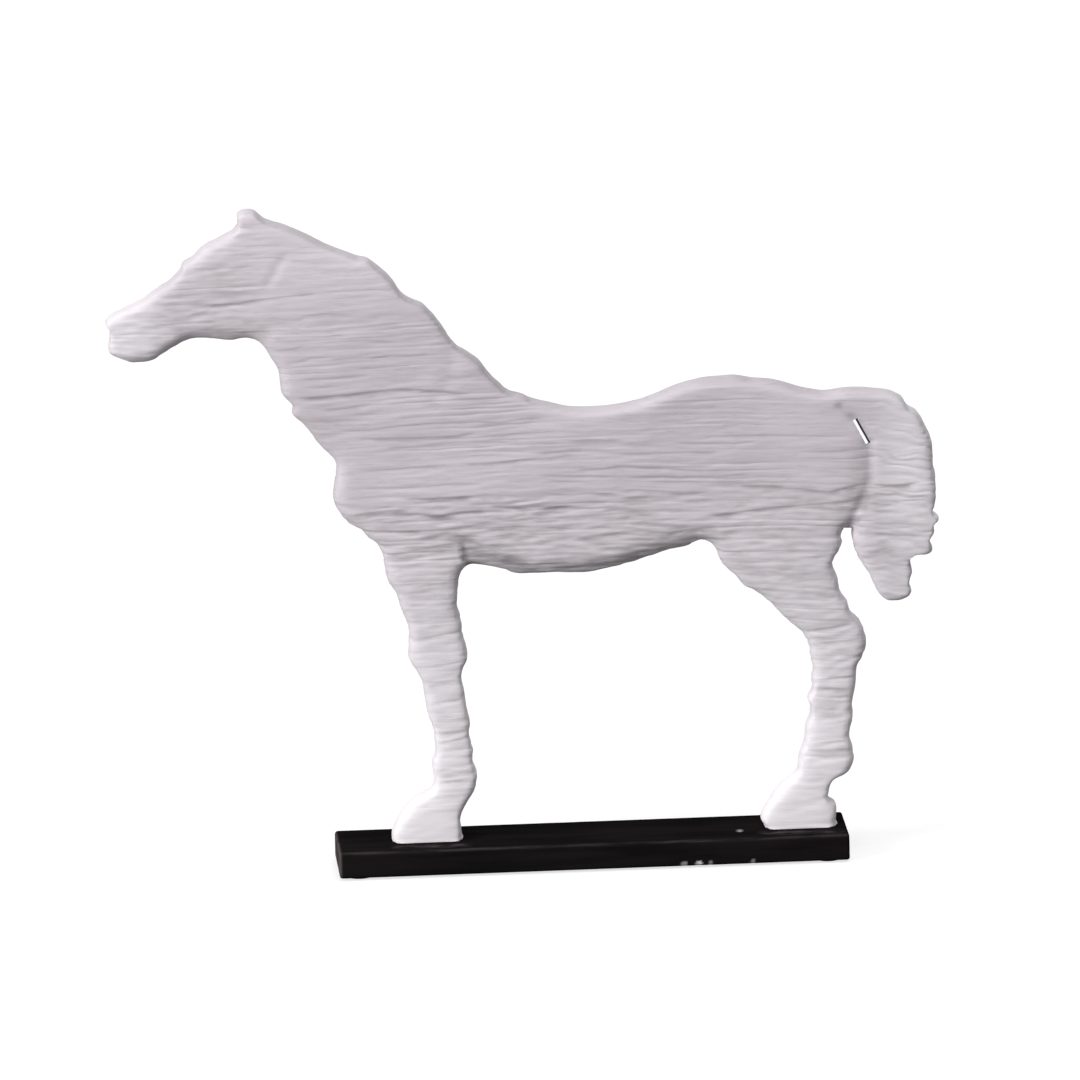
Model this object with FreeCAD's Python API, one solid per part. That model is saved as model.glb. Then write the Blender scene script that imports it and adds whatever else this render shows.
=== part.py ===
import FreeCAD, Part
import math
import os

# A standing horse cut from one flat panel, on a narrow black block.
# Lengths are millimetres, +Z is up, the head points to -X and the tail to +X,
# and the photographed side looks to -Y. The figure is symmetric about Y = 0.

os.makedirs("parts", exist_ok=True)

# Overall sizes of the figure
horse_length = 555.0
horse_height = 434.0
horse_thickness = 27.0

# The rasped edge: how far the rounding reaches in from the outline, less on
# edges that face up, and the part of the half width that it may take where a
# limb is slim. A roundness share of 1 gives an ellipse, less a fuller edge,
# and edges that face down are rounder than the rest.
edge_round_depth = 10.5
upper_edge_round_depth = 6.0
edge_round_width_share = 0.55
edge_roundness_share = 0.72
lower_edge_roundness_share = 1.0
edge_layers_each_side = 4

# How often each row of numbers along the outline is drawn towards its
# neighbours: the inward directions, the rounding depths, and the nicks that
# the rasp takes off
direction_evening_count = 3
depth_evening_count = 2
nick_evening_count = 2

# The slot sawn between the tail and the rump. It leans as the tail does and
# runs a little down towards the back.
tail_slot_width = 3.4
tail_slot_length = 19.0
tail_slot_lean_degrees = 27.0
tail_slot_slant_degrees = 12.0
tail_slot_middle_shares = (408, 617)

# The black base block. Its ends stand past the rods in the two legs, so it
# follows the hooves.
base_past_fore_rod = 77.0
base_past_hind_rod = 15.7
base_depth = 71.0
base_height = 18.0
base_edge_radius = 1.8

# Felt pads under the base
pad_diameter = 16.0
pad_thickness = 1.5
pad_inset = 14.0

# Steel rods from under the base up inside the legs, with their nuts and
# washers in counterbores
rod_diameter = 5.0
rod_clearance = 0.2
rod_past_nut = 1.2
rod_end_gap = 0.3
nut_width = 8.0
nut_height = 4.0
nut_clearance = 0.05
washer_diameter = 10.0
washer_thickness = 1.0
counterbore_diameter = 14.0
counterbore_depth = 7.0

# Beech dowels that line the boards up across the long glue lines
dowel_diameter = 8.0
dowel_length = 40.0
dowel_clearance = 0.1
dowel_end_gap = 0.5
dowel_chamfer = 0.8

# How far a cutting shape runs past what it cuts
overrun = 5.0

# Heights of the glue lines and of the rods' upper ends, in thousandths of the
# horse's height, counted from the top of the base
hoof_seam_share = 88
cannon_seam_share = 219
knee_seam_share = 348
belly_seam_share = 533
barrel_seam_share = 716
neck_seam_share = 860
rod_top_share = 440

# Places of the rods and dowels, in thousandths of the horse's length, counted
# from the middle of the figure
fore_rod_share = -100
hind_rod_share = 351
belly_dowel_shares = (-150, 20, 190, 330, 450)
barrel_dowel_shares = (-240, -160, -80)
neck_dowel_shares = (-320, -260, -200)

# The outline, clockwise from the upper lip. Each pair is the distance from the
# middle of the figure in thousandths of its length, then the height over the
# base in thousandths of the horse's height. Both hooves run on below the base
# top, where they are cut flat.
head_shares = (
    (-500, 830), (-499, 836), (-495, 841), (-485, 848), (-470, 857), (-458, 864), (-445, 874),
    (-434, 884), (-424, 891), (-417, 899), (-409, 909), (-405, 921), (-397, 927), (-390, 933),
    (-383, 943), (-374, 951), (-362, 958), (-347, 967), (-340, 974), (-338, 984), (-338, 993),
    (-331, 999), (-323, 1000), (-316, 998), (-309, 990), (-302, 984))
crest_shares = (
    (-285, 976), (-270, 968), (-250, 955), (-230, 941), (-210, 930), (-192, 921), (-182, 918),
    (-170, 906), (-158, 892), (-148, 874), (-142, 862), (-128, 850), (-118, 845), (-106, 830),
    (-96, 812), (-84, 788), (-76, 776), (-63, 765), (-50, 751), (-40, 733), (-29, 718), (-19, 705))
back_shares = (
    (-9, 699), (2, 695), (10, 689), (32, 681), (52, 674), (78, 671), (105, 672), (130, 677),
    (152, 684), (176, 696), (200, 706), (218, 711), (240, 712), (257, 713), (276, 708), (292, 706),
    (316, 699), (334, 691), (350, 686), (366, 683))
tail_shares = (
    (384, 686), (404, 687), (426, 685), (447, 680), (460, 669), (466, 656), (476, 648), (484, 631),
    (491, 613), (495, 590), (495, 567), (498, 542), (498, 520), (496, 500), (493, 487), (499, 483),
    (500, 476), (495, 471), (494, 455), (489, 446), (492, 430), (484, 421), (470, 422), (465, 414),
    (467, 397), (463, 379), (466, 367), (461, 356), (450, 350), (437, 350), (429, 355), (418, 377),
    (414, 391), (401, 419), (395, 441), (393, 458), (393, 467))
hind_leg_back_shares = (
    (390, 471), (385, 464), (382, 455), (383, 448), (378, 432), (372, 420), (371, 410), (376, 394),
    (378, 380), (382, 363), (387, 355), (391, 337), (401, 323), (408, 303), (410, 290), (407, 270),
    (398, 250), (396, 226), (393, 206), (391, 190), (392, 172), (387, 148), (388, 134), (392, 110),
    (389, 93), (380, 79), (366, 71), (361, 60), (360, 41), (367, 35), (368, 18), (369, 0),
    (369, -60))
hind_leg_front_shares = (
    (280, -60), (280, 0), (276, 10), (276, 20), (285, 40), (295, 58), (307, 73), (320, 87),
    (322, 98), (323, 111), (330, 136), (332, 157), (337, 177), (337, 190), (335, 202), (340, 214),
    (340, 232), (342, 249), (339, 268), (338, 282), (334, 297), (325, 311), (312, 326), (300, 343),
    (288, 359), (272, 375), (263, 381), (250, 400), (235, 419), (229, 438), (220, 453), (210, 456),
    (200, 450))
belly_shares = (
    (185, 445), (165, 439), (147, 432), (118, 421), (100, 417), (70, 411), (35, 412), (0, 413),
    (-15, 414), (-30, 421), (-58, 429), (-69, 430), (-78, 421), (-82, 405))
fore_leg_back_shares = (
    (-83, 385), (-84, 367), (-80, 345), (-79, 325), (-75, 305), (-74, 283), (-81, 264), (-79, 238),
    (-76, 207), (-72, 181), (-74, 168), (-70, 141), (-70, 122), (-66, 107), (-67, 86), (-72, 70),
    (-82, 51), (-88, 31), (-87, 17), (-85, 0), (-84, -60))
fore_leg_front_shares = (
    (-172, -60), (-172, 0), (-173, 6), (-170, 22), (-164, 37), (-156, 51), (-148, 62), (-139, 70),
    (-127, 77), (-121, 85), (-120, 98), (-122, 119), (-118, 138), (-118, 155), (-120, 178),
    (-125, 196), (-128, 220), (-131, 243), (-136, 264), (-144, 280), (-147, 295), (-146, 318),
    (-147, 342), (-154, 365), (-160, 391), (-169, 411), (-172, 430), (-176, 456))
chest_shares = (
    (-184, 472), (-192, 479), (-200, 492), (-212, 501), (-222, 515), (-231, 536), (-231, 560),
    (-227, 588), (-229, 604), (-241, 621), (-254, 641), (-268, 664), (-279, 680), (-278, 690),
    (-288, 706), (-292, 727), (-295, 750), (-302, 767), (-310, 785), (-320, 796))
jaw_shares = (
    (-334, 800), (-348, 797), (-363, 799), (-380, 802), (-397, 801), (-412, 793), (-430, 780),
    (-444, 769), (-460, 767), (-472, 768), (-486, 776), (-496, 784), (-497, 800), (-496, 818))
stretches = (
    head_shares, crest_shares, back_shares, tail_shares, hind_leg_back_shares,
    hind_leg_front_shares, belly_shares, fore_leg_back_shares, fore_leg_front_shares,
    chest_shares, jaw_shares)

# Heights in the finished part: the pads stand on the surface at Z = 0
base_bottom = pad_thickness
base_top = base_bottom + base_height


def across(share):
    """Place along X for a share of the horse's length."""
    return share * horse_length / 1000


def above_base(share):
    """Place along Z for a share of the horse's height."""
    return base_top + share * horse_height / 1000


# The panel with its rasped edges.
# It is a loft through copies of the outline. The middle copy is the outline
# itself. Those towards the two faces step inwards along a full round and lose
# its small nicks, as a rasp leaves them.
outline = [(across(x), above_base(z)) for stretch in stretches for x, z in stretch]
count = len(outline)


def unit(x, z):
    size = math.hypot(x, z)
    return x / size, z / size


def evened(values, rounds):
    """A closed row of numbers, each drawn towards its two neighbours."""
    for _ in range(rounds):
        values = [
            (values[i - 1] + 2 * values[i] + values[(i + 1) % count]) / 4
            for i in range(count)
        ]
    return values


def inward_directions():
    """Direction into the wood at each point of the outline."""
    square = []
    for i in range(count):
        x0, z0 = outline[i - 1]
        x1, z1 = outline[(i + 1) % count]
        square.append(unit(z1 - z0, x0 - x1))
    even_x = evened([x for x, z in square], direction_evening_count)
    even_z = evened([z for x, z in square], direction_evening_count)
    return [unit(x, z) for x, z in zip(even_x, even_z)]


def half_width(i):
    """Radius of the largest circle inside the outline that touches point i."""
    x, z = outline[i]
    radius = horse_length
    for other_x, other_z in outline:
        step = math.hypot(other_x - x, other_z - z)
        along = (other_x - x) * inward[i][0] + (other_z - z) * inward[i][1]
        if step > edge_round_depth / 2 and along > 0:
            radius = min(radius, step * step / (2 * along))
    return radius


def round_depths():
    """How far in the rounding reaches at each point of the outline."""
    room = []
    for i in range(count):
        facing_up = max(0, -inward[i][1])
        reach = edge_round_depth + facing_up * (upper_edge_round_depth - edge_round_depth)
        room.append(min(reach, edge_round_width_share * half_width(i)))
    least = [min(room[i - 1], room[i], room[(i + 1) % count]) for i in range(count)]
    return evened(least, depth_evening_count)


def roundness_shares():
    """How round the edge is at each point of the outline."""
    gain = lower_edge_roundness_share - edge_roundness_share
    shares = [edge_roundness_share + gain * max(0, inward[i][1]) for i in range(count)]
    return evened(shares, depth_evening_count)


def outline_knots():
    """Curve parameter of each point, which grows less over the long gaps."""
    knots = [0.0]
    for i in range(count):
        x0, z0 = outline[i]
        x1, z1 = outline[(i + 1) % count]
        knots.append(knots[-1] + math.sqrt(math.hypot(x1 - x0, z1 - z0)))
    return knots


inward = inward_directions()
depths = round_depths()
roundness = roundness_shares()
knots = outline_knots()
nickless_x = evened([x for x, z in outline], nick_evening_count)
nickless_z = evened([z for x, z in outline], nick_evening_count)


def outline_copy(turn):
    """One closed wire of the loft, for a turn of -90 to 90 degrees."""
    out = abs(math.sin(math.radians(turn))) ** edge_roundness_share
    y = math.copysign(horse_thickness / 2 * out, turn)
    points = []
    for i, (x, z) in enumerate(outline):
        power = 2 / roundness[i]
        inset = 1 - (1 - out ** power) ** (1 / power)
        step_x = nickless_x[i] - x + inward[i][0] * depths[i]
        step_z = nickless_z[i] - z + inward[i][1] * depths[i]
        points.append(FreeCAD.Vector(x + inset * step_x, y, z + inset * step_z))
    curve = Part.BSplineCurve()
    curve.interpolate(Points=points, PeriodicFlag=True, Parameters=knots)
    return Part.Wire([curve.toShape()])


def panel_blank():
    turns = [
        90 * k / edge_layers_each_side
        for k in range(-edge_layers_each_side, edge_layers_each_side + 1)
    ]
    return Part.makeLoft([outline_copy(turn) for turn in turns], True, False)


# Shapes that the pieces and the cuts share
def upright(diameter, x, bottom, top, y=0):
    """A cylinder that stands between two heights."""
    return Part.makeCylinder(diameter / 2, top - bottom, FreeCAD.Vector(x, y, bottom))


def tail_slot():
    """The slot's cutter: a leaning bar with round ends, through the panel."""
    lean = FreeCAD.Rotation(FreeCAD.Vector(0, 1, 0), -tail_slot_lean_degrees)
    drop = horse_thickness * math.tan(math.radians(tail_slot_slant_degrees))
    middle = FreeCAD.Vector(
        across(tail_slot_middle_shares[0]), -horse_thickness, above_base(tail_slot_middle_shares[1]) + drop)
    along = lean.multVec(FreeCAD.Vector(0, 0, tail_slot_length / 2 - tail_slot_width / 2))
    side = lean.multVec(FreeCAD.Vector(tail_slot_width / 2, 0, 0))
    tip = lean.multVec(FreeCAD.Vector(0, 0, tail_slot_width / 2))
    edges = [
        Part.makeLine(middle - along - side, middle + along - side),
        Part.Arc(middle + along - side, middle + along + tip, middle + along + side).toShape(),
        Part.makeLine(middle + along + side, middle - along + side),
        Part.Arc(middle - along + side, middle - along - tip, middle - along - side).toShape(),
    ]
    return Part.Face(Part.Wire(edges)).extrude(FreeCAD.Vector(0, 2 * horse_thickness, -2 * drop))


# Rods, nuts and washers
rod_shares = {"fore": fore_rod_share, "hind": hind_rod_share}
rod_top = above_base(rod_top_share)
washer_top = base_bottom + counterbore_depth
nut_top = washer_top - washer_thickness
nut_bottom = nut_top - nut_height
rod_bottom = nut_bottom - rod_past_nut


def rod_hole(share):
    bore = rod_diameter + 2 * rod_clearance
    return upright(bore, across(share), base_bottom - overrun, rod_top + rod_end_gap)


def leg_rod(share):
    return upright(rod_diameter, across(share), rod_bottom, rod_top)


def washer(share):
    x = across(share)
    hole = upright(rod_diameter + 2 * nut_clearance, x, nut_top, washer_top)
    return upright(washer_diameter, x, nut_top, washer_top).cut(hole)


def nut(share):
    x = across(share)
    corner_radius = nut_width / 2 / math.cos(math.radians(30))
    ring = [
        FreeCAD.Vector(
            x + corner_radius * math.cos(math.radians(60 * k)),
            corner_radius * math.sin(math.radians(60 * k)),
            nut_bottom)
        for k in range(7)
    ]
    block = Part.Face(Part.makePolygon(ring)).extrude(FreeCAD.Vector(0, 0, nut_height))
    return block.cut(upright(rod_diameter + 2 * nut_clearance, x, nut_bottom, nut_top))


# Dowels and their holes
def dowel_hole(place, seam_share):
    bore = dowel_diameter + 2 * dowel_clearance
    reach = dowel_length / 2 + dowel_end_gap
    seam = above_base(seam_share)
    return upright(bore, across(place), seam - reach, seam + reach)


def dowel(place, seam_share):
    seam = above_base(seam_share)
    peg = upright(dowel_diameter, across(place), seam - dowel_length / 2, seam + dowel_length / 2)
    ends = [edge for edge in peg.Edges if edge.Closed]
    return peg.makeChamfer(dowel_chamfer, ends)


# The boards. Each has the seams below and above it and the range of X that it
# is cut from, because both legs share the lower seams.
whole_length = (-horse_length, horse_length)
fore_side = (-horse_length, 0)
hind_side = (0, horse_length)
sawn_top_share = 1050
boards = {
    "fore_hoof": (0, hoof_seam_share, fore_side),
    "hind_hoof": (0, hoof_seam_share, hind_side),
    "fore_cannon_block": (hoof_seam_share, cannon_seam_share, fore_side),
    "hind_cannon_block": (hoof_seam_share, cannon_seam_share, hind_side),
    "fore_knee_block": (cannon_seam_share, knee_seam_share, fore_side),
    "hock_block": (cannon_seam_share, knee_seam_share, hind_side),
    "belly_board": (knee_seam_share, belly_seam_share, whole_length),
    "barrel_board": (belly_seam_share, barrel_seam_share, whole_length),
    "neck_board": (barrel_seam_share, neck_seam_share, whole_length),
    "head_board": (neck_seam_share, sawn_top_share, whole_length),
}
dowel_rows = {
    "belly_dowels": (belly_seam_share, belly_dowel_shares),
    "barrel_dowels": (barrel_seam_share, barrel_dowel_shares),
    "neck_dowels": (neck_seam_share, neck_dowel_shares),
}


def stock(low_share, high_share, side):
    low = above_base(low_share)
    corner = FreeCAD.Vector(side[0], -horse_thickness, low)
    return Part.makeBox(side[1] - side[0], 2 * horse_thickness, above_base(high_share) - low, corner)


def board_pieces():
    panel = panel_blank()
    cuts = [tail_slot()]
    cuts += [rod_hole(share) for share in rod_shares.values()]
    cuts += [dowel_hole(place, seam) for seam, places in dowel_rows.values() for place in places]
    return {name: panel.common(stock(*place)).cut(cuts) for name, place in boards.items()}


# The base block and its pads
base_left = across(fore_rod_share) - base_past_fore_rod
base_right = across(hind_rod_share) + base_past_hind_rod


def base_block():
    corner = FreeCAD.Vector(base_left, -base_depth / 2, base_bottom)
    block = Part.makeBox(base_right - base_left, base_depth, base_height, corner)
    block = block.makeFillet(base_edge_radius, block.Edges)
    for share in rod_shares.values():
        block = block.cut(rod_hole(share))
        x = across(share)
        block = block.cut(upright(counterbore_diameter, x, base_bottom - overrun, washer_top))
    return block


def felt_pads():
    pads = {}
    for end, x in (("head", base_left + pad_inset), ("tail", base_right - pad_inset)):
        for side, y in (("front", pad_inset - base_depth / 2), ("back", base_depth / 2 - pad_inset)):
            pads[f"felt_pad_{end}_{side}"] = upright(pad_diameter, x, 0, base_bottom, y)
    return pads


pieces = board_pieces()
pieces["base_block"] = base_block()
pieces.update(felt_pads())
for leg, share in rod_shares.items():
    pieces[f"{leg}_leg_rod"] = leg_rod(share)
    pieces[f"{leg}_rod_washer"] = washer(share)
    pieces[f"{leg}_rod_nut"] = nut(share)
for name, (seam, places) in dowel_rows.items():
    pieces[name] = Part.makeCompound([dowel(place, seam) for place in places])

for name, shape in pieces.items():
    shape.exportStep(f"parts/{name}.step")
    print(name, shape.isValid(), len(shape.Solids), round(shape.Volume))
print("pieces", len(pieces))
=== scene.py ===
# %% [markdown]
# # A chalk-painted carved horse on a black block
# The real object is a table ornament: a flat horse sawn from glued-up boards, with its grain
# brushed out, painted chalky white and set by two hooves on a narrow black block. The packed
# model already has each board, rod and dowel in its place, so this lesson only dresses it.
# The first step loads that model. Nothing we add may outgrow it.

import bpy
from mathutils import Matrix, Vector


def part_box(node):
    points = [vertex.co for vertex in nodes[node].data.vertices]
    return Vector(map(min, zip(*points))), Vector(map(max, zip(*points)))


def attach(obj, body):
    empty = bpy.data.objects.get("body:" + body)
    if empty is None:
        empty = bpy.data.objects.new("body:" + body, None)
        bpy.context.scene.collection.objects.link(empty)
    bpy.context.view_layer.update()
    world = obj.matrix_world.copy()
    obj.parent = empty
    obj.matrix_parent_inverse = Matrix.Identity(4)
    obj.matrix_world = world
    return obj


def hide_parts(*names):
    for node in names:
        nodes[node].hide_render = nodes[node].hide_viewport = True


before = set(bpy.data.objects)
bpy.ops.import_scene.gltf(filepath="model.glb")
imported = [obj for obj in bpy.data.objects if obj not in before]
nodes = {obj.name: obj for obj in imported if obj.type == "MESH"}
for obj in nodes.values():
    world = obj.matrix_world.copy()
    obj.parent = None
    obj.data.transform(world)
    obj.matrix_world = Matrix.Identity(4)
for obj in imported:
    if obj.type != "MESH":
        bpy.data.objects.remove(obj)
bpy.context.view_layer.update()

# %% Modules
import math

import bmesh
import bpy
import numpy as np
from mathutils import Matrix, Vector, bvhtree, noise

scene = bpy.context.scene

# %% [markdown]
# ## Camera
# The photograph was taken from far away, a little above the horse and slightly towards its
# head, with the picture turned by a degree and a half. A long lens at 12 metres gives the same
# flat view. We could aim the camera with a Track To constraint, but three axes worked out from
# the turn, the rise and the roll say exactly how it stands.

# %% Camera
turn, rise, roll = math.radians(-3.0), math.radians(11.7), math.radians(1.5)
camera_distance = 12.0
picture_size = 1080
picture_width = 0.7236
aim = Vector((0.0095, 0, 0.2213))

backward = Vector(
    (math.sin(turn) * math.cos(rise), -math.cos(turn) * math.cos(rise), math.sin(rise)))
level = Vector((math.cos(turn), math.sin(turn), 0))
upward = backward.cross(level)
right = level * math.cos(roll) - upward * math.sin(roll)
top = level * math.sin(roll) + upward * math.cos(roll)

camera = bpy.data.objects.new("camera", bpy.data.cameras.new("camera"))
scene.collection.objects.link(camera)
scene.camera = camera
axes = Matrix((right, top, backward)).transposed()
camera.matrix_world = Matrix.Translation(aim + backward * camera_distance) @ axes.to_4x4()
camera.data.sensor_width = 36.0
camera.data.lens = camera.data.sensor_width * camera_distance / picture_width
camera.data.clip_start, camera.data.clip_end = 1.0, 100.0
scene.view_settings.view_transform = "Standard"
print("lens, mm:", round(camera.data.lens))

# %% [markdown]
# ## Studio
# Three large soft lamps light the figure. The key lamp stands in front and to the left, so
# left-facing edges are bright and right-facing ones fall off. The roof lamp lights the upper
# edges, and the back lamp keeps the far side from going black. A grey world fills the shadows.
# The camera sees part of the floor as plain white light, and the rest takes the figure's soft
# shadow. To other rays the floor is a dull grey, so that it doesn't light the belly from below.


# %% Helpers for materials
def add_node(tree, kind, settings=None, **inputs):
    """A new node, with its settings, and each input set to a value or linked to a socket."""
    made = tree.nodes.new(kind)
    for name, value in (settings or {}).items():
        setattr(made, name, value)
    for name, value in inputs.items():
        socket = made.inputs[int(name[1:]) if name[1:].isdigit() else name.replace("_", " ")]
        if isinstance(value, bpy.types.NodeSocket):
            tree.links.new(value, socket)
        else:
            socket.default_value = value
    return made


def empty_material(name):
    material = bpy.data.materials.new(name)
    material.use_nodes = True
    material.node_tree.nodes.clear()
    return material, material.node_tree


def grey(value):
    return (value, value, value, 1.0)


def blend(tree, factor, first, second):
    """Two colours mixed by a factor."""
    return add_node(
        tree, "ShaderNodeMix", {"data_type": "RGBA"}, _0=factor, _6=first, _7=second).outputs[2]


def times(tree, first, second):
    return add_node(tree, "ShaderNodeMath", {"operation": "MULTIPLY"}, _0=first, _1=second).outputs[0]


# %% Floor
half = 20.0
floor_mesh = bpy.data.meshes.new("floor")
corners = [(-half, -half, 0), (half, -half, 0), (half, half, 0), (-half, half, 0)]
floor_mesh.from_pydata(corners, [], [(0, 1, 2, 3)])
floor = bpy.data.objects.new("floor", floor_mesh)
scene.collection.objects.link(floor)

dull, seen_grey, seen_glow = 0.24, 0.42, 0.70
floor_material, tree = empty_material("pale_floor")
seen = add_node(tree, "ShaderNodeLightPath").outputs["Is Camera Ray"]
shade = blend(tree, seen, grey(dull), grey(seen_grey))
matt = add_node(tree, "ShaderNodeBsdfDiffuse", Color=shade)
glow = add_node(
    tree, "ShaderNodeEmission", Color=grey(1.0), Strength=times(tree, seen, seen_glow))
both = add_node(tree, "ShaderNodeAddShader", _0=matt.outputs[0], _1=glow.outputs[0])
add_node(tree, "ShaderNodeOutputMaterial", Surface=both.outputs[0])
floor_mesh.materials.append(floor_material)
print("floor:", 2 * half, "metres across")


# %% Lamps and world
def soft_lamp(name, direction, strength, across):
    """A round lamp, far off in a direction; at strength 1 it alone turns a white face white."""
    lamp = bpy.data.objects.new(name, bpy.data.lights.new(name, "AREA"))
    scene.collection.objects.link(lamp)
    lamp.data.shape = "DISK"
    lamp.data.size = across
    lamp.data.energy = strength * (math.pi * lamp_distance) ** 2
    towards = Vector(direction).normalized()
    lamp.location = aim + towards * lamp_distance
    lamp.rotation_euler = towards.to_track_quat("Z", "Y").to_euler()


lamp_distance = 9.0
soft_lamp("key_lamp", (-0.77, -0.56, 0.28), 0.84, 4.5)
soft_lamp("roof_lamp", (0.12, -0.30, 0.95), 0.43, 6.0)
soft_lamp("back_lamp", (0.15, 0.92, 0.36), 0.28, 6.0)

world = bpy.data.worlds.new("studio")
world.use_nodes = True
scene.world = world
tree = world.node_tree
tree.nodes.clear()
seen = add_node(tree, "ShaderNodeLightPath").outputs["Is Camera Ray"]
sky = blend(tree, seen, grey(dull), grey(1.0))
air = add_node(tree, "ShaderNodeBackground", Color=sky)
add_node(tree, "ShaderNodeOutputWorld", Surface=air.outputs[0])

# %% [markdown]
# ## The horse's skin
# On the real figure one coat of paint runs over all the glued boards, so the brushed grain has
# to run over them too. We take the outsides of the ten boards, leave out the glue faces and
# the walls of the holes inside, and remesh them as one skin. The Remesh modifier makes cubes,
# but the grain lies along X. So the skin is first squeezed along X and stretched along Z, and
# the cubes come out long and low, with more rows where the grain needs them. Last, each
# vertex goes back onto the sawn shape.

# %% Outsides of the boards
board_names = (
    "head_board", "neck_board", "barrel_board", "belly_board", "fore_knee_block", "hock_block",
    "fore_cannon_block", "hind_cannon_block", "fore_hoof", "hind_hoof")
weld = 2e-5
least_skin_depth = 0.012


def islands(mesh):
    """The separate parts of a bmesh, as lists of faces."""
    left, found = set(mesh.faces), []
    while left:
        part, edge_of = [], [left.pop()]
        while edge_of:
            face = edge_of.pop()
            part.append(face)
            near = {f for e in face.edges for f in e.link_faces} & left
            left -= near
            edge_of.extend(near)
        found.append(part)
    return found


def add_outside(skin, name):
    """Adds a board's outside to the skin, without its glue faces and the walls of its holes."""
    low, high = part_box(name)
    board = bmesh.new()
    board.from_mesh(nodes[name].data)
    bmesh.ops.remove_doubles(board, verts=board.verts, dist=weld)
    glued = [
        f for f in board.faces
        if any(all(abs(v.co.z - seam) < weld for v in f.verts) for seam in (low.z, high.z))]
    bmesh.ops.delete(board, geom=glued, context="FACES")
    for part in islands(board):
        depths = [v.co.y for f in part for v in f.verts]
        if max(depths) - min(depths) < least_skin_depth:
            bmesh.ops.delete(board, geom=part, context="FACES")
    mesh = bpy.data.meshes.new("outside")
    board.to_mesh(mesh)
    board.free()
    skin.from_mesh(mesh)
    bpy.data.meshes.remove(mesh)


sawn = bmesh.new()
for name in board_names:
    add_outside(sawn, name)
bmesh.ops.remove_doubles(sawn, verts=sawn.verts, dist=weld)
print("outsides:", len(sawn.faces), "faces")

# %% [markdown]
# The slot between tail and rump is only 3.4 mm wide, and cubes of a millimetre would round
# it off. So it is closed here and sawn again at the end. The open soles are closed too.

# %% Close the slot and the soles
slot_middle, slot_reach = Vector((0.2264, 0, 0.2873)), 0.018


def in_slot(point):
    return math.hypot(point.x - slot_middle.x, point.z - slot_middle.z) < slot_reach


horse_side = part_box("barrel_board")[1].y
walls = [
    f for f in sawn.faces
    if all(in_slot(v.co) for v in f.verts) and abs(f.normal.y) < 0.5]
bmesh.ops.delete(sawn, geom=walls, context="FACES")
base_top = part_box("fore_hoof")[0].z
rims = [
    e for e in sawn.edges
    if e.is_boundary and all(in_slot(v.co) or abs(v.co.z - base_top) < weld for v in e.verts)]
bmesh.ops.holes_fill(sawn, edges=rims, sides=0)
print("sawn skin:", len(sawn.faces), "faces,", sum(e.is_boundary for e in sawn.edges), "open edges")

# %% One even skin
stretch = Matrix.Diagonal((0.5, 1.0, 2.2, 1.0))
voxel = 0.0011


def object_from(name, mesh):
    made = bpy.data.objects.new(name, mesh)
    scene.collection.objects.link(made)
    return made


def mesh_with_modifiers(piece):
    depsgraph = bpy.context.evaluated_depsgraph_get()
    return bpy.data.meshes.new_from_object(piece.evaluated_get(depsgraph))


def evaluated_mesh(piece):
    """The piece's mesh with its modifiers applied; the piece itself is removed."""
    mesh = mesh_with_modifiers(piece)
    old = piece.data
    bpy.data.objects.remove(piece)
    bpy.data.meshes.remove(old)
    return mesh


def remeshed(rough, name, size, shape=Matrix.Identity(4)):
    """An even mesh over a bmesh. The shape matrix says how the cubes are squeezed."""
    mesh = bpy.data.meshes.new(name)
    rough.to_mesh(mesh)
    mesh.transform(shape)
    piece = object_from(name, mesh)
    remesh = piece.modifiers.new("even", "REMESH")
    remesh.mode = "VOXEL"
    remesh.voxel_size = size
    mesh = evaluated_mesh(piece)
    mesh.transform(shape.inverted())
    surface = bvhtree.BVHTree.FromBMesh(rough)
    for vertex in mesh.vertices:
        vertex.co = surface.find_nearest(vertex.co)[0]
    mesh.update()
    return mesh


def row_of(mesh, of="co"):
    """The places or normals of a mesh's vertices, one row each."""
    values = np.zeros(len(mesh.vertices) * 3)
    mesh.vertices.foreach_get(of, values)
    return values.reshape(-1, 3)


skin = remeshed(sawn, "horse_skin", voxel, stretch)
print("even skin:", len(skin.polygons), "faces")

# %% [markdown]
# A rasp and thick paint leave no line where the rounded edge meets the flat face. So each
# vertex there is drawn towards the mean of its neighbours, many times over. Vertices on the
# outline are left alone, or the legs would get thinner.

# %% Ease the faces
easing_rounds = 40
ends_of_edges = np.zeros(len(skin.edges) * 2, dtype=np.int32)
skin.edges.foreach_get("vertices", ends_of_edges)
pairs = ends_of_edges.reshape(-1, 2)
here, there = np.concatenate((pairs, pairs[:, ::-1])).T
places = row_of(skin)
neighbours = np.bincount(here, minlength=len(places))
freedom = 0.5 * np.clip((np.abs(row_of(skin, "normal")[:, 1]) - 0.35) / 0.5, 0, 1)
for _ in range(easing_rounds):
    mean_height = np.bincount(here, weights=places[there, 1], minlength=len(places)) / neighbours
    places[:, 1] += freedom * (mean_height - places[:, 1])
skin.vertices.foreach_set("co", places.ravel())
skin.update()
normals = row_of(skin, "normal")
print("faces eased", easing_rounds, "times")

# %% [markdown]
# ## Brushed grain
# A wire brush takes the soft early wood out of each growth ring and leaves the hard late wood
# proud. The rings run nearly level through the boards, climb a little towards the neck and
# waver on the legs. Crown and rump are calm, and the belly and the muzzle are rough. A
# Displace modifier with a cloud texture could do one such wave, but here several kinds are
# mixed and steered, so the depth of each vertex is worked out in code. All depths go inwards,
# because a brush only takes wood away, and so the skin can't outgrow the CAD.

# %% Waves of the grain
mm = 1000.0
x, y, z = (places * mm).T


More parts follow.
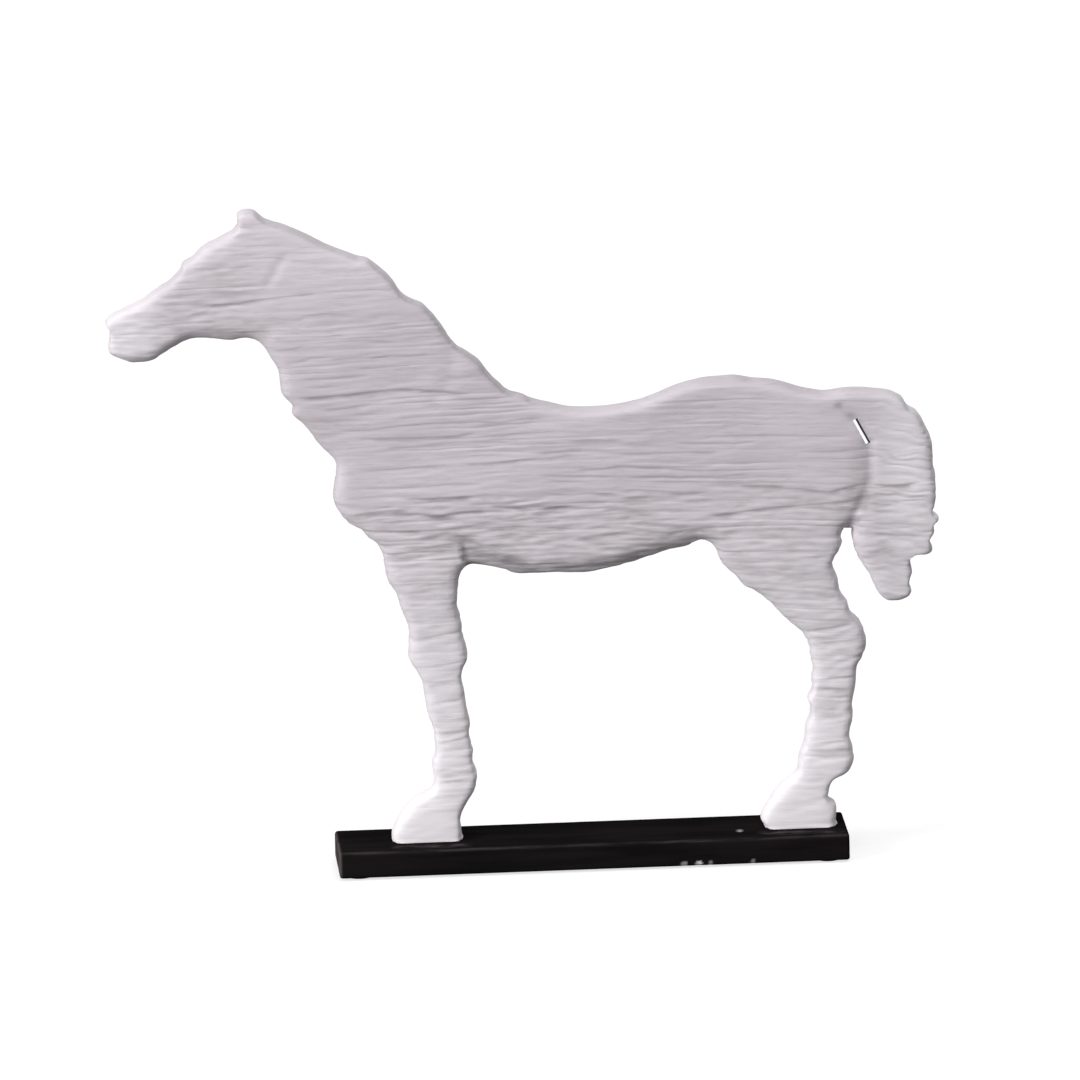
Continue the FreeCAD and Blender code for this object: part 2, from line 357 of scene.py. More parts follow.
def waves(a, b, c):
    """Smooth noise at each vertex, roughly from -1 to 1."""
    return 1.6 * np.fromiter(map(noise.noise, zip(a.tolist(), b.tolist(), c.tolist())), float, len(a))


def ramp(value, start, end):
    """0 at start, 1 at end, and smooth between."""
    t = np.clip((value - start) / (end - start), 0, 1)
    return t * t * (3 - 2 * t)


def dip(wave):
    """0 where a wave is highest and 1 where it is lowest."""
    return 0.5 - 0.5 * wave


bow = 0.00016 * (np.clip(x, -130, 220) - 25) ** 2
tail = ramp(x, 229, 236)
wander = (
    1.2 * waves(x / 90, y / 40, z / 30)
    + 0.55 * waves(x / 26, y / 20, z / 9)
    + 0.2 * waves(x / 11, y / 9, z / 5))
wander += tail * (2.4 * waves(x / 13, y / 12, z / 11) + 0.22 * (x - 232))
ring = z + bow + wander
leg = ramp(z, 178, 150)
hoof = ramp(z, 66, 52)

broad = waves(x / 170, y / 35, ring / 4.3)
fine = waves(x / 80 + 31, y / 25, ring / 1.9)
finest = waves(x / 40 + 61, y / 18, ring / 1.15)
fade = ramp(waves(x / 75 + 7, y / 45, ring / 15), -0.55, 0.65)
broken = ramp(waves(x / 24 + 13, y / 20, ring / 6), -0.3, 0.7)
dents = waves(x / 26 + 17, y / 20, z / 15)
lumps = waves(x / 7, y / 6, z / 3.5)
streaks = waves(x / 19 + 43, y / 14, ring / 3.1)
leg_wander = 2.2 * waves(x / 15, y / 18, z / 12)
leg_lumps = waves(x / 10, y / 9, (z - 0.3 * x) / 5)
leg_slope = 0.22 - 0.12 * ramp(z, 120, 90) * ramp(x, 0, 10)
leg_rings = waves(x / 40 + 3, y / 30, (z - leg_slope * x + leg_wander) / 4.6)
tears = waves(x / 19 + 5, y / 9, ring / 3.2)
torn = ramp(np.abs(z - 234), 30, 8) * ramp(np.abs(x + 10), 170, 60)
print("waves at", len(x), "vertices")

# %% Depth of the grain
# The number before each kind of wave is its depth in millimetres.
brushed = (
    (1 - 0.5 * leg) * (
        (0.06 + 0.26 * fade) * np.exp(-(broad / 0.36) ** 2)
        + 0.16 * fade * dip(broad) + (0.02 + 0.15 * broken) * dip(fine) + 0.03 * broken * dip(finest))
    + 0.14 * dip(dents) + 0.10 * dip(lumps) + 0.20 * dip(streaks)
    + leg * (0.32 + 0.40 * fade) * dip(leg_rings) + 0.22 * leg * dip(leg_lumps)
    + 0.75 * torn * ramp(tears, -0.5, 0.9))
crown = ramp(z, 375, 405) * ramp(x, -190, -165)
rump = ramp(x, 150, 175) * ramp(z, 262, 275) * (1 - tail)
brushed *= (1 - 0.4 * hoof) * (1 - 0.3 * np.maximum(crown, rump))
rough = ramp(z, 265, 238) * (1 - leg) + ramp(x, -165, -185)
brushed += rough * (0.18 * dip(lumps) + 0.25 * dip(streaks))
print("brushed, mean and most in mm:", [round(float(v), 2) for v in (brushed.mean(), brushed.max())])

# %% [markdown]
# ## Lines cut by hand
# Some lines of the photographed face are deeper than the rest: rings that tore open, glue
# lines and a few knife cuts. They are placed by their pixels in the photograph, and a ray from
# the camera finds the same place on the wood. Each is steep on its upper side and shallow
# below, as a lifted ring is, and the deep ones are wider. The boards' rings run right through,
# so the back face gets the same lines.

# %% Pixels to places
focal_pixels = picture_size * camera_distance / picture_width


def on_plane(pixel, axis, level):
    """Where the ray through a pixel of the photograph reaches a level along an axis, in mm."""
    out = axes @ Vector((pixel[0] - picture_size / 2, picture_size / 2 - pixel[1], -focal_pixels))
    return (camera.location + out * ((level - camera.location[axis]) / out[axis])) * mm


def on_face(pixel):
    """The place on the horse's front face that a pixel shows, as X and Z in mm."""
    hit = on_plane(pixel, 1, -horse_side)
    return hit.x, hit.z


print("one pixel is", round(mm * picture_width / picture_size, 2), "mm")

# %% Torn rings
# Each line is its depth in millimetres, then pixels from left to right.
torn_rings = (
    (0.5, (150, 322), (162, 326), (184, 324), (219, 322)),
    (0.5, (186, 317), (198, 315), (208, 312), (213, 306), (234, 305), (252, 302),
     (274, 299), (319, 294)),
    (0.3, (320, 293), (372, 290), (402, 291)), (0.3, (138, 317), (156, 318), (176, 317)),
    (0.4, (190, 270), (215, 270), (240, 268), (256, 266)),
    (0.3, (226, 248), (252, 247), (284, 246)), (0.4, (292, 249), (319, 248), (345, 251)),
    (0.3, (223, 261), (257, 259), (274, 258), (288, 261), (310, 263)),
    (0.3, (256, 239), (270, 238)), (0.4, (292, 324), (304, 317), (330, 314), (352, 317)),
    (0.4, (270, 352), (292, 350), (310, 345)), (0.4, (326, 337), (349, 335)),
    (0.3, (351, 341), (398, 343)),
    (0.4, (284, 365), (302, 362), (310, 359), (335, 358)),
    (0.4, (364, 360), (390, 356), (418, 356)),
    (0.4, (300, 380), (329, 379), (354, 377), (372, 375)), (0.3, (303, 389), (340, 387)),
    (0.9, (298, 400), (310, 399), (348, 396), (371, 393), (404, 390), (432, 392), (469, 395)),
    (0.5, (321, 411), (348, 409), (372, 405)), (0.3, (353, 415), (384, 414)),
    (0.3, (312, 421), (358, 420)),
    (0.4, (339, 432), (369, 431), (397, 427), (432, 424), (466, 423), (501, 423),
     (520, 420), (544, 419)),
    (0.6, (357, 440), (415, 439), (458, 437), (477, 433)),
    (0.3, (492, 438), (514, 435), (537, 433)),
    (0.4, (383, 450), (422, 447), (456, 445), (487, 443), (514, 443)),
    (0.5, (571, 442), (599, 441), (625, 441)), (0.3, (464, 452), (492, 451), (530, 452)),
    (0.4, (535, 455), (562, 452), (577, 451), (609, 451)),
    (0.3, (457, 459), (478, 456), (521, 456)),
    (0.4, (362, 472), (396, 470), (415, 468), (444, 467)),
    (0.4, (461, 465), (492, 464), (520, 461), (541, 461)),
    (0.5, (538, 476), (568, 477), (616, 477)), (0.4, (544, 480), (562, 482), (589, 482)),
    (0.4, (361, 489), (415, 488), (450, 485), (485, 484)), (0.3, (382, 496), (397, 498)),
    (1.0, (404, 501), (426, 500), (450, 499), (476, 497)),
    (0.5, (543, 494), (569, 496), (588, 494), (617, 495)),
    (1.1, (491, 507), (515, 510), (541, 511), (561, 508), (578, 507)),
    (0.6, (356, 516), (388, 512), (413, 512)),
    (1.0, (418, 516), (443, 517), (464, 514), (489, 511)),
    (0.4, (519, 521), (540, 523), (562, 522)), (0.4, (408, 534), (436, 534), (456, 532)),
    (0.5, (382, 556), (409, 554), (424, 553), (452, 552)),
    (0.3, (393, 569), (424, 568), (456, 567)),
    (0.4, (411, 590), (427, 586), (451, 583)), (0.4, (476, 550), (506, 552), (539, 551)),
    (0.4, (672, 443), (694, 444), (736, 444), (760, 441)),
    (0.4, (700, 439), (713, 437), (760, 436), (853, 437)),
    (0.4, (719, 427), (746, 425)), (0.6, (617, 455), (661, 454), (689, 453), (721, 453)),
    (0.5, (576, 470), (603, 470), (619, 467), (652, 468), (716, 467)),
    (0.4, (632, 477), (680, 478), (722, 477), (752, 474)),
    (0.4, (643, 482), (694, 482), (745, 483)),
    (0.6, (618, 492), (638, 491), (659, 492), (680, 494), (710, 493)),
    (0.4, (799, 452), (838, 452), (858, 450)),
    (0.9, (741, 487), (775, 488), (800, 490), (831, 493), (860, 486), (903, 486), (921, 483)),
    (0.8, (710, 517), (748, 512), (780, 508), (824, 505), (857, 502)),
    (0.4, (869, 494), (905, 496), (933, 498)),
    (0.4, (869, 511), (904, 514)), (0.4, (870, 524), (896, 524), (926, 526)),
    (0.4, (872, 534), (926, 537)),
    (0.4, (796, 559), (830, 557)), (0.7, (660, 536), (685, 532), (712, 529)),
    (0.6, (816, 681), (857, 677)), (0.5, (816, 689), (856, 690)), (0.4, (820, 700), (852, 696)),
    (0.4, (806, 632), (858, 624)), (0.4, (812, 645), (862, 640)), (0.4, (426, 668), (466, 662)),
    (0.5, (418, 640), (464, 632)), (0.4, (430, 705), (468, 699)), (0.5, (434, 745), (470, 738)),
    (0.5, (436, 784), (474, 779)), (0.4, (812, 745), (850, 741)))
line_lead, line_taper = 2.0, 9.0

cuts = np.zeros(len(x))
for depth, *pixels in torn_rings:
    along, height = np.array([on_face(p) for p in pixels]).T
    above = z - np.interp(x, along, height)
    left_end = ramp(x, along[0] - line_lead, along[0] + line_taper)
    ends = left_end * ramp(x, along[-1] + line_lead, along[-1] - line_taper)
    steep, shallow = 0.5 + 0.5 * depth, 1.0 + 2.0 * depth
    profile = np.exp(-(above / np.where(above > 0, steep, shallow)) ** 2)
    cuts = np.maximum(cuts, depth * ends * profile)
print("torn rings:", len(torn_rings))

# %% [markdown]
# ## Carved hollows
# A few hollows were made with a gouge and aren't level: the groove that parts the tail from
# the rump, the belly's edge that turns under, the fold of the flank, the jaw, the withers and
# the soft mark of the eye. They are round troughs along a path of pixels, shaped by the
# distance to the nearest stretch of the path. Where two troughs meet, the root of their summed
# squares joins them, so no crease is left between them.

# %% Hollows along paths
belly_line = ((486, 570), (535, 577), (580, 577), (620, 571), (660, 559), (696, 547))
# Each hollow is its depth and its width in millimetres, then its path.
hollows = {
    "tail groove above the slot": (1.5, 3.0, ((841, 407), (847, 413), (853, 419))),
    "round the slot": (1.8, 3.0, ((853, 417), (858, 421), (871, 441))),
    "rump turning in": (1.2, 7.0, ((864, 452), (864, 480), (857, 498), (849, 512))),
    "tail groove": (
        2.0, 3.4, ((868, 443), (870, 460), (869, 480), (864, 500), (856, 515), (850, 527))),
    "notch under the tail": (1.8, 6.0, ((860, 505), (852, 522))),
    "under the belly": (3.6, 9.5, belly_line),
    "elbow crease": (0.6, 3.0, ((459, 550), (458, 536))),
    "groove foot": (1.5, 3.5, ((863, 500), (858, 512), (854, 525))),
    "flank fold": (1.0, 4.0, ((664, 541), (690, 532), (714, 530))),
    "eye": (0.7, 3.2, ((283, 259), (278, 266), (274, 275), (268, 284))),
    "jaw": (1.0, 4.5, ((184, 338), (212, 335), (240, 337), (266, 334))),
    "withers": (0.5, 5.0, ((446, 338), (452, 360), (447, 385), (432, 402))),
}


def trough(path, width):
    """1 along a path of pixels, falling smoothly to 0 over about two widths."""
    points = [on_face(p) for p in path]
    nearest = np.full(len(x), 1e6)
    for (ax, az), (bx, bz) in zip(points, points[1:]):
        span = (bx - ax) ** 2 + (bz - az) ** 2
        t = np.clip(((x - ax) * (bx - ax) + (z - az) * (bz - az)) / span, 0, 1)
        nearest = np.minimum(nearest, np.hypot(x - ax - t * (bx - ax), z - az - t * (bz - az)))
    return np.exp(-(nearest / width) ** 2)


hollow = np.zeros(len(x))
for depth, width, path in hollows.values():
    hollow = np.hypot(hollow, depth * trough(path, width))
print("hollows:", ", ".join(hollows))

# %% [markdown]
# Behind the fore leg the belly is gouged deeper. There the leg stands up like a wall: the
# trough is multiplied by a ramp that is 0 on the leg and 1 a few millimetres past its edge.

# %% Pocket behind the elbow
leg_edge_x, leg_edge_z = np.array([on_face(p) for p in ((467, 573), (461, 556), (458, 536))]).T
past_leg = ramp(x - np.interp(z, leg_edge_z, leg_edge_x), -0.8, 2.4)
pocket = 5.0 * trough(((508, 574), (482, 571), (468, 558)), 11) * past_leg
hollow = np.hypot(hollow, pocket)
print("pocket, mm deep:", round(float(pocket.max()), 1))

# %% [markdown]
# Now the skin is cut. The grain goes in along each vertex's normal. The hollows thin the board
# along Y instead, so that the sawn outline stays as it was. The paint is to be darker where the
# wood is cut deep, and painted shade is laid under the belly, in the tail groove and behind the
# fore leg. A vertex attribute tells the paint how much of both each vertex gets.

# %% Cut the skin
# Lines fade out on the rounded edges, or they would notch the outline. Nothing is cut at the
# soles, which rest on the block.
flat = np.abs(normals[:, 1]) ** 1.5
above_sole = ramp(z, base_top * mm, base_top * mm + 3)
depth = (brushed + 0.75 * cuts * flat) * above_sole
cut = places - normals * depth[:, None] / mm
cut[:, 1] *= 1 - hollow * above_sole / (horse_side * mm)
skin.vertices.foreach_set("co", cut.ravel())
painted_shade_and_cut_tone = skin.attributes.new("painted_shade_and_cut_tone", "FLOAT", "POINT")
groove_line = ((866, 492), (859, 510), (854, 525))
# Painted shade: darker paint under the belly, in the tail groove and in the pocket behind the fore
# leg, where shade falls.
painted_shade = (
    0.75 * trough(belly_line, 10) + 0.5 * trough(groove_line, 4)
    + 1.4 * past_leg * trough(((480, 572), (467, 556)), 8))
# The paint is also darker in the cuts, the hollows and the deeper brushed rings.
darker_in_cuts = (0.60 * cuts + 0.30 * cuts ** 2 + 0.28 * hollow + 0.75 * (brushed - 0.35)) * flat
shade_and_cut_tone = np.clip(darker_in_cuts + painted_shade * np.sqrt(np.abs(normals[:, 1])), 0, 1)
painted_shade_and_cut_tone.data.foreach_set("value", shade_and_cut_tone.astype(np.float32))
skin.update()
print("deepest cut, mm:", round(float(depth.max()), 2))

# %% [markdown]
# ## Back into boards
# The model keeps each board as a part of its own, so the skin is sawn again at the glue lines.
# By hand one would use the Bisect tool on ten copies, and a loop does just that. Every board
# becomes a closed mesh. Its sawn ends are flat and meet the next board, and the painted skin is
# shaded smooth.


# %% Saw the skin
def sawn_board(name):
    """The part of the skin between a board's glue lines, closed."""
    low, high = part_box(name)
    room = 0.006
    part = bmesh.new()
    part.from_mesh(skin)
    outside = [
        v for v in part.verts
        if not (low.z - room < v.co.z < high.z + room and low.x - room < v.co.x < high.x + room)]
    bmesh.ops.delete(part, geom=outside, context="VERTS")
    for seam, away in ((low.z, -1), (high.z, 1)):
        if name == "head_board" and away > 0:
            continue
        bmesh.ops.bisect_plane(
            part, geom=part.verts[:] + part.edges[:] + part.faces[:], dist=1e-6,
            plane_co=(0, 0, seam), plane_no=(0, 0, away), clear_outer=True)
    for face in part.faces:
        face.smooth = True
    rim = [e for e in part.edges if e.is_boundary]
    for end in bmesh.ops.holes_fill(part, edges=rim, sides=0)["faces"]:
        end.smooth = False
    for edge in rim:
        edge.smooth = False
    mesh = bpy.data.meshes.new("painted_" + name)
    part.to_mesh(mesh)
    part.free()
    return object_from("painted_" + name, mesh)


boards = {name: sawn_board(name) for name in board_names}
for name, piece in boards.items():
    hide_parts(name)
print("boards:", {name: len(piece.data.polygons) for name, piece in boards.items()})

# %% [markdown]
# ## The slot
# The slot is sawn through the barrel board with a Boolean modifier, which keeps its edges
# crisp. The cutter is a bar that leans as the tail does and runs a little down to the back.

# %% Saw the slot
slot_width, slot_length, cutter_depth = 0.0034, 0.019, 0.06
slot_lean, slot_slant = math.radians(27), math.radians(12)
cutter = bmesh.new()
bmesh.ops.create_cube(cutter, size=1)
bmesh.ops.scale(cutter, vec=(slot_width, cutter_depth, slot_length), verts=cutter.verts)
bmesh.ops.rotate(cutter, matrix=Matrix.Rotation(-slot_lean, 3, "Y"), verts=cutter.verts)
for vertex in cutter.verts:
    vertex.co.z -= vertex.co.y * math.tan(slot_slant)
bmesh.ops.translate(cutter, vec=slot_middle, verts=cutter.verts)
cutter_mesh = bpy.data.meshes.new("slot_cutter")
cutter.to_mesh(cutter_mesh)
bar = object_from("slot_cutter", cutter_mesh)
barrel = boards["barrel_board"]
saw = barrel.modifiers.new("slot", "BOOLEAN")
saw.object = bar
saw.operation = "DIFFERENCE"
barrel.data = mesh_with_modifiers(barrel)
barrel.modifiers.clear()
bpy.data.objects.remove(bar)
for piece in boards.values():
    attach(piece, "root")
print("slot sawn")

# %% [markdown]
# ## Chalk paint
# Chalk paint is flat and dry: hardly any gloss, a rough surface and a colour that isn't quite
# even. Here it is a warm lilac white, a little whiter at the crown and at both ends. Down the
# legs it is painted whiter still, as painted light that stands in for light thrown up from
# below. The paint is darker in the brushed rings and cuts, and painted shade darkens it under
# the belly, in the tail groove and behind the fore leg. A thin streaky wash follows the grain.
# A painted picture would need unwrapped boards that match at every glue line. Noise in the
# objects' own coordinates, stretched along X as the grain is, runs over all of them unbroken.


# %% Chalk paint
def principled(tree, **inputs):
    """Puts a Principled shader on the material's output."""
    shader = add_node(tree, "ShaderNodeBsdfPrincipled", **inputs)
    add_node(tree, "ShaderNodeOutputMaterial", Surface=shader.outputs[0])


def pattern(tree, spacing, detail=2.0, warp=0.0):
    """Noise whose spots are so many metres wide along X, Y and Z."""
    place = add_node(tree, "ShaderNodeTexCoord").outputs["Object"]
    scaled = add_node(
        tree, "ShaderNodeMapping", Vector=place, Scale=tuple(1 / s for s in spacing))
    return add_node(
        tree, "ShaderNodeTexNoise", Vector=scaled.outputs[0], Scale=1.0, Detail=detail,
        Distortion=warp).outputs["Fac"]


def between(tree, value, start, end):
    """A value turned into 0 at start and 1 at end."""
    return add_node(
        tree, "ShaderNodeMapRange", {"interpolation_type": "SMOOTHSTEP"},
        Value=value, From_Min=start, From_Max=end).outputs[0]


def larger(tree, first, second):
    return add_node(tree, "ShaderNodeMath", {"operation": "MAXIMUM"}, _0=first, _1=second).outputs[0]


chalk, tree = empty_material("chalk_paint")
lilac, pale_lilac = (0.637, 0.590, 0.632, 1), (0.703, 0.653, 0.697, 1)
wash, fleck_grey = (0.53, 0.485, 0.525, 1), (0.45, 0.41, 0.445, 1)
# The whitest colour is partly painted light down the legs, and the darkest grey is partly painted
# shade.
white_and_bounce_light, shade_and_cut_grey = (0.97, 0.925, 0.965, 1), (0.335, 0.302, 0.318, 1)

patches = between(tree, pattern(tree, (0.07, 0.05, 0.035)), 0.35, 0.68)
colour = blend(tree, patches, lilac, pale_lilac)
streaks = between(tree, pattern(tree, (0.05, 0.015, 0.0010), detail=3.0), 0.50, 0.70)
colour = blend(tree, times(tree, streaks, 0.30), colour, wash)
flecks = between(tree, pattern(tree, (0.011, 0.008, 0.0011), detail=3.0, warp=0.4), 0.56, 0.74)
colour = blend(tree, times(tree, flecks, 0.35), colour, fleck_grey)

place = add_node(tree, "ShaderNodeTexCoord").outputs["Object"]
apart = add_node(tree, "ShaderNodeSeparateXYZ", Vector=place).outputs
# Painted light: the paint grows whiter down the legs, standing in for light thrown up from below.
painted_bounce_light = between(tree, apart["Z"], 0.305, 0.010)
whiter_high = times(tree, between(tree, apart["Z"], 0.340, 0.450), 0.25)
from_middle = add_node(tree, "ShaderNodeMath", {"operation": "ABSOLUTE"}, _0=apart["X"]).outputs[0]
whiter_ends = times(tree, between(tree, from_middle, 0.222, 0.262), 0.60)
whiter_and_bounce_lit = larger(tree, painted_bounce_light, larger(tree, whiter_high, whiter_ends))
colour = blend(tree, whiter_and_bounce_lit, colour, white_and_bounce_light)

# Darker paint in the cuts, plus painted shade under the belly, in the tail groove and behind the fore
# leg.
shade_and_cut_share = add_node(tree, "ShaderNodeAttribute", {"attribute_name": "painted_shade_and_cut_tone"}).outputs["Fac"]
speckle = between(tree, pattern(tree, (0.02, 0.01, 0.004), detail=3.0), 0.30, 0.62)
colour = blend(tree, times(tree, times(tree, shade_and_cut_share, speckle), 0.75), colour, shade_and_cut_grey)
fibres = pattern(tree, (0.012, 0.006, 0.0007), detail=2.0)
grain_bump = add_node(tree, "ShaderNodeBump", Height=fibres, Strength=0.35, Distance=0.0003)
principled(
    tree, Base_Color=colour, Roughness=0.88, Specular_IOR_Level=0.2,
    Normal=grain_bump.outputs[0])
for piece in boards.values():
    piece.data.materials.clear()
    piece.data.materials.append(chalk)
print("chalk paint on", len(boards), "boards")

# %% [markdown]
# ## The black block
# The base is a planed board with rubbed edges. A Bevel modifier could round them, but wear is
# never even. So its mesh is made even the same way as the skin's, and the plane's slight waves,
# the rubbed edges, a knock on the top and the chips near the lower front edge are real shape.
# The underside stays flat for the felt pads.

# %% Shape the block
block_low, block_high = (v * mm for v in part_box("base_block"))
planed = bmesh.new()
planed.from_mesh(nodes["base_block"].data)
bmesh.ops.remove_doubles(planed, verts=planed.verts, dist=weld)
block_mesh = remeshed(planed, "painted_block", 0.0012)
block_places, block_normals = row_of(block_mesh), row_of(block_mesh, "normal")
x, y, z = (block_places * mm).T

from_sides = np.minimum.reduce(
    [x - block_low.x, block_high.x - x, y - block_low.y, block_high.y - y])
# Only the outer 2 mm of the sides and the top are worn, so the holes and the underside stay.
worn_to, kept_from = 2.0, 2.8
outer = np.maximum(
    ramp(from_sides, kept_from, worn_to),
    ramp(z, block_high.z - kept_from, block_high.z - worn_to))
planing = (
    0.10 * (0.5 + 0.5 * waves(x / 70 + 11, y / 16, z / 12))
    + 0.05 * (0.5 + 0.5 * waves(x / 14, y / 3, z / 3)))
# The top front edge, the top left edge and the upright edge between them are rubbed. In the paint the
# same edges also get a painted highlight.
from_edge = np.minimum.reduce([
    np.hypot(y - block_low.y, z - block_high.z), np.hypot(x - block_low.x, z - block_high.z),
    np.hypot(x - block_low.x, y - block_low.y)])
rubbed_and_highlight = ramp(from_edge, 2.4, 0.6) * ramp(waves(x / 50 + 3, y / 20, z / 9), -1.3, 0.3)
end_grain = ramp(x, block_low.x + 1.6, block_low.x + 0.4)
print("block:", len(block_mesh.polygons), "faces")

# %% Chips, knock and dust
# Each chip is its pixel along the lower front edge, then its half width and depth in millimetres.
chips = ((684, 2.4, 0.6), (698.6, 2.4, 1.1), (710.5, 1.8, 0.5), (753, 1.8, 0.5))
chip_level, chip_reach, chip_height = 1.6, 2.0, 1.9
chipped = np.zeros(len(x))
for pixel, half_width, chip_depth in chips:
    at = on_plane((pixel, 862), 1, block_low.y / mm).x
    away = np.sqrt(
        ((x - at) / half_width) ** 2 + ((y - block_low.y) / chip_reach) ** 2
        + ((z - block_low.z - chip_level) / chip_height) ** 2)
    uneven = 1 + 0.1 * waves(x / 1.5, y / 1.5, z / 1.5)
    chipped = np.maximum(chipped, chip_depth * ramp(away * uneven, 1.3, 0.7))
on_top = ramp(z, block_high.z - 1, block_high.z - 0.3)
knock_depth, knock_across, knock_along = 0.5, 2.3, 4.5
knock = on_plane((739.6, 830.4), 2, block_high.z / mm)
from_knock = np.hypot((x - knock.x) / knock_across, (y - knock.y) / knock_along)
knocked = knock_depth * ramp(from_knock, 1.2, 0.4) * on_top

# Paint dust lies before each hoof, between two pixels.
dust_width = 5.0
dusted = np.zeros(len(x))
for ends in (((397, 847), (465, 845)), ((764, 833), (840, 831))):
    start, stop = (on_plane(pixel, 2, block_high.z / mm) for pixel in ends)
    off = y - start.y - (stop.y - start.y) * (x - start.x) / (stop.x - start.x)
    beside = ramp(x, start.x - 6, start.x + 2) * ramp(x, stop.x + 6, stop.x - 2)
    dusted = np.maximum(dusted, beside * np.exp(-(off / dust_width) ** 2))
dusted *= on_top * ramp(waves(x / 9, y / 4, z / 9), -1.2, 0.8)
print(len(chips), "chips, a knock and dust before two hooves")

# %% Cut the block
taken = outer * (planing + 0.25 * rubbed_and_highlight) + chipped + knocked
planed_places = block_places - block_normals * taken[:, None] / mm
block_mesh.vertices.foreach_set("co", planed_places.ravel())
# The rubbed mark is worn paint and also a painted highlight along the edges; it carries the chalk
# dust before the hooves too.
wear_and_highlight = {
    "rubbed_and_highlight": 0.3 * rubbed_and_highlight * outer + 0.6 * dusted,
    "worn_end": end_grain,
    "chipped": ramp(chipped, 0.1, 1.3) + 0.7 * knocked,
}
for label, values in wear_and_highlight.items():
    attribute = block_mesh.attributes.new(label, "FLOAT", "POINT")
    attribute.data.foreach_set("value", values.astype(np.float32))
for face in block_mesh.polygons:
    face.use_smooth = True
block_mesh.update()
block = object_from("painted_block", block_mesh)
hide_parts("base_block")
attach(block, "root")
print("block cut, mm:", round(float(taken.max()), 2), "most")

# %% [markdown]
# ## Black paint
# The paint is thin and dull. It has rubbed to a brownish grey along the edges and at the left
# end, where the bare wood shows through. Along the rubbed edges that grey is also a painted
# highlight. A little chalk dust lies before the hooves, and the chips are pale wood and primer.
# One could paint such wear by hand in Vertex Paint mode. Here the depths that shaped the block
# are kept on its vertices, and the colours follow them.

# %% Black paint
black, tree = empty_material("black_paint")
soot, charcoal = (0.0075, 0.0068, 0.0072, 1), (0.013, 0.0108, 0.0112, 1)
# The rubbed grey is worn paint, and along the edges also a painted highlight.
rubbed_and_highlight_grey, bare_end = (0.120, 0.102, 0.106, 1), (0.098, 0.082, 0.084, 1)
primer = (0.85, 0.80, 0.78, 1)

smoky = between(tree, pattern(tree, (0.08, 0.02, 0.008), detail=3.0), 0.35, 0.70)
colour = blend(tree, smoky, soot, charcoal)
# Rubbed grey along the edges, partly worn paint and partly a painted highlight, and chalk dust before
# the hooves.
rub_highlight_and_dust = add_node(tree, "ShaderNodeAttribute", {"attribute_name": "rubbed_and_highlight"}).outputs["Fac"]
scratches = between(tree, pattern(tree, (0.02, 0.004, 0.0015), detail=4.0), 0.25, 0.62)
colour = blend(tree, times(tree, rub_highlight_and_dust, scratches), colour, rubbed_and_highlight_grey)
worn_end = add_node(tree, "ShaderNodeAttribute", {"attribute_name": "worn_end"}).outputs["Fac"]
wear_spots = between(tree, pattern(tree, (0.03, 0.02, 0.01)), 0.1, 0.6)
colour = blend(tree, times(tree, worn_end, wear_spots), colour, bare_end)
chip = add_node(tree, "ShaderNodeAttribute", {"attribute_name": "chipped"}).outputs["Fac"]
colour = blend(tree, chip, colour, primer)
brush = pattern(tree, (0.03, 0.004, 0.0012))
brush_bump = add_node(tree, "ShaderNodeBump", Height=brush, Strength=0.3, Distance=0.0002)
shine = add_node(tree, "ShaderNodeMapRange", Value=smoky, To_Min=0.55, To_Max=0.68)
principled(
    tree, Base_Color=colour, Roughness=shine.outputs[0], Specular_IOR_Level=0.0,
    Normal=brush_bump.outputs[0])
block_mesh.materials.clear()
block_mesh.materials.append(black)
print("black paint ready")

# %% [markdown]
# ## Hardware
# Under the block are felt pads and nuts on threaded rods, and inside the horse are beech
# dowels. Nobody sees them in the picture, but each still gets its own finish, so that the
# model looks right when it is turned over or taken apart. A Screw modifier could make a real
# thread, but on a rod of 5 mm that is out of sight, a bump pattern is enough.

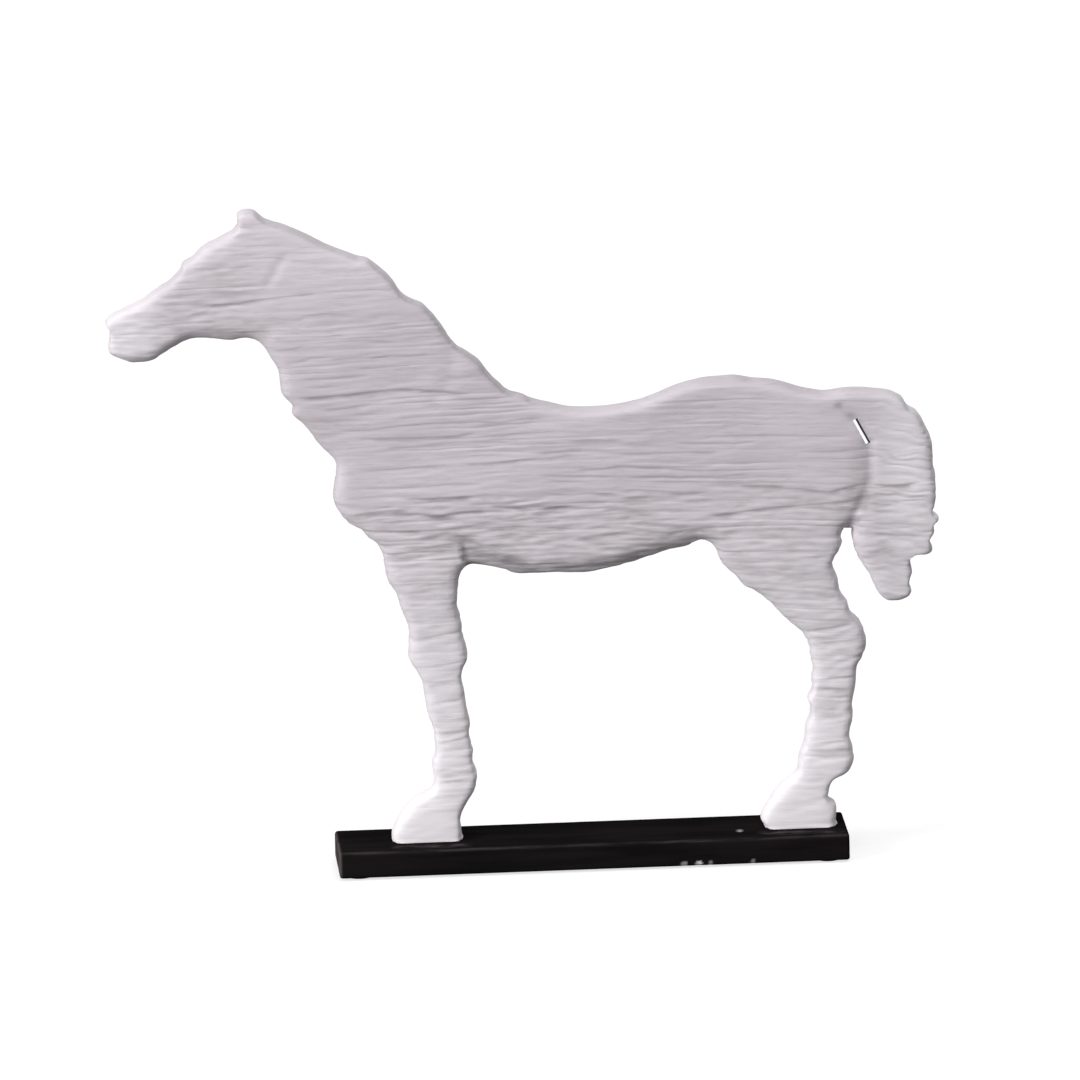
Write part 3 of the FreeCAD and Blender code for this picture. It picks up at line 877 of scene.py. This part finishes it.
# %% Felt, zinc and beech
felt, tree = empty_material("felt")
fluff = pattern(tree, (0.0012, 0.0012, 0.0012), detail=4.0, warp=0.8)
felt_colour = blend(tree, fluff, (0.012, 0.012, 0.013, 1), (0.055, 0.053, 0.054, 1))
felt_bump = add_node(tree, "ShaderNodeBump", Height=fluff, Strength=0.6, Distance=0.0004)
principled(
    tree, Base_Color=felt_colour, Roughness=1.0, Specular_IOR_Level=0.1, Sheen_Weight=0.2,
    Normal=felt_bump.outputs[0])


def zinc(name, turns):
    """Zinc plate, with a fine thread if turns is true."""
    material, tree = empty_material(name)
    cloud = pattern(tree, (0.004, 0.004, 0.006), detail=3.0)
    plate = blend(tree, cloud, (0.46, 0.47, 0.49, 1), (0.64, 0.65, 0.66, 1))
    dulled = add_node(tree, "ShaderNodeMapRange", Value=cloud, To_Min=0.28, To_Max=0.48)
    if turns:
        place = add_node(tree, "ShaderNodeTexCoord").outputs["Object"]
        wave = add_node(
            tree, "ShaderNodeTexWave", {"bands_direction": "Z"}, Vector=place, Scale=thread_scale)
        relief = wave.outputs["Fac"]
    else:
        relief = pattern(tree, (0.0006, 0.0006, 0.0006))
    bump = add_node(
        tree, "ShaderNodeBump", Height=relief, Strength=0.8 if turns else 0.15, Distance=0.0003)
    principled(
        tree, Base_Color=plate, Metallic=1.0, Roughness=dulled.outputs[0], Normal=bump.outputs[0])
    return material


thread_pitch = 0.0008
thread_scale = 2 * math.pi / (20 * thread_pitch)
beech, tree = empty_material("beech")
beech_grain = pattern(tree, (0.0012, 0.0012, 0.015), detail=4.0)
beech_colour = blend(tree, beech_grain, (0.43, 0.27, 0.15, 1), (0.68, 0.49, 0.31, 1))
flutes = add_node(tree, "ShaderNodeBump", Height=beech_grain, Strength=0.4, Distance=0.0003)
principled(
    tree, Base_Color=beech_colour, Roughness=0.7, Specular_IOR_Level=0.3, Normal=flutes.outputs[0])

finishes = {
    "felt": felt, "dowels": beech, "leg_rod": zinc("zinc_thread", True),
    "": zinc("zinc_plate", False)}
covered = {"base_block", *board_names}
for name, node in nodes.items():
    if name not in covered:
        finish = next(f for word, f in finishes.items() if word in name)
        node.data.materials.clear()
        node.data.materials.append(finish)
        print(name, "has", finish.name)
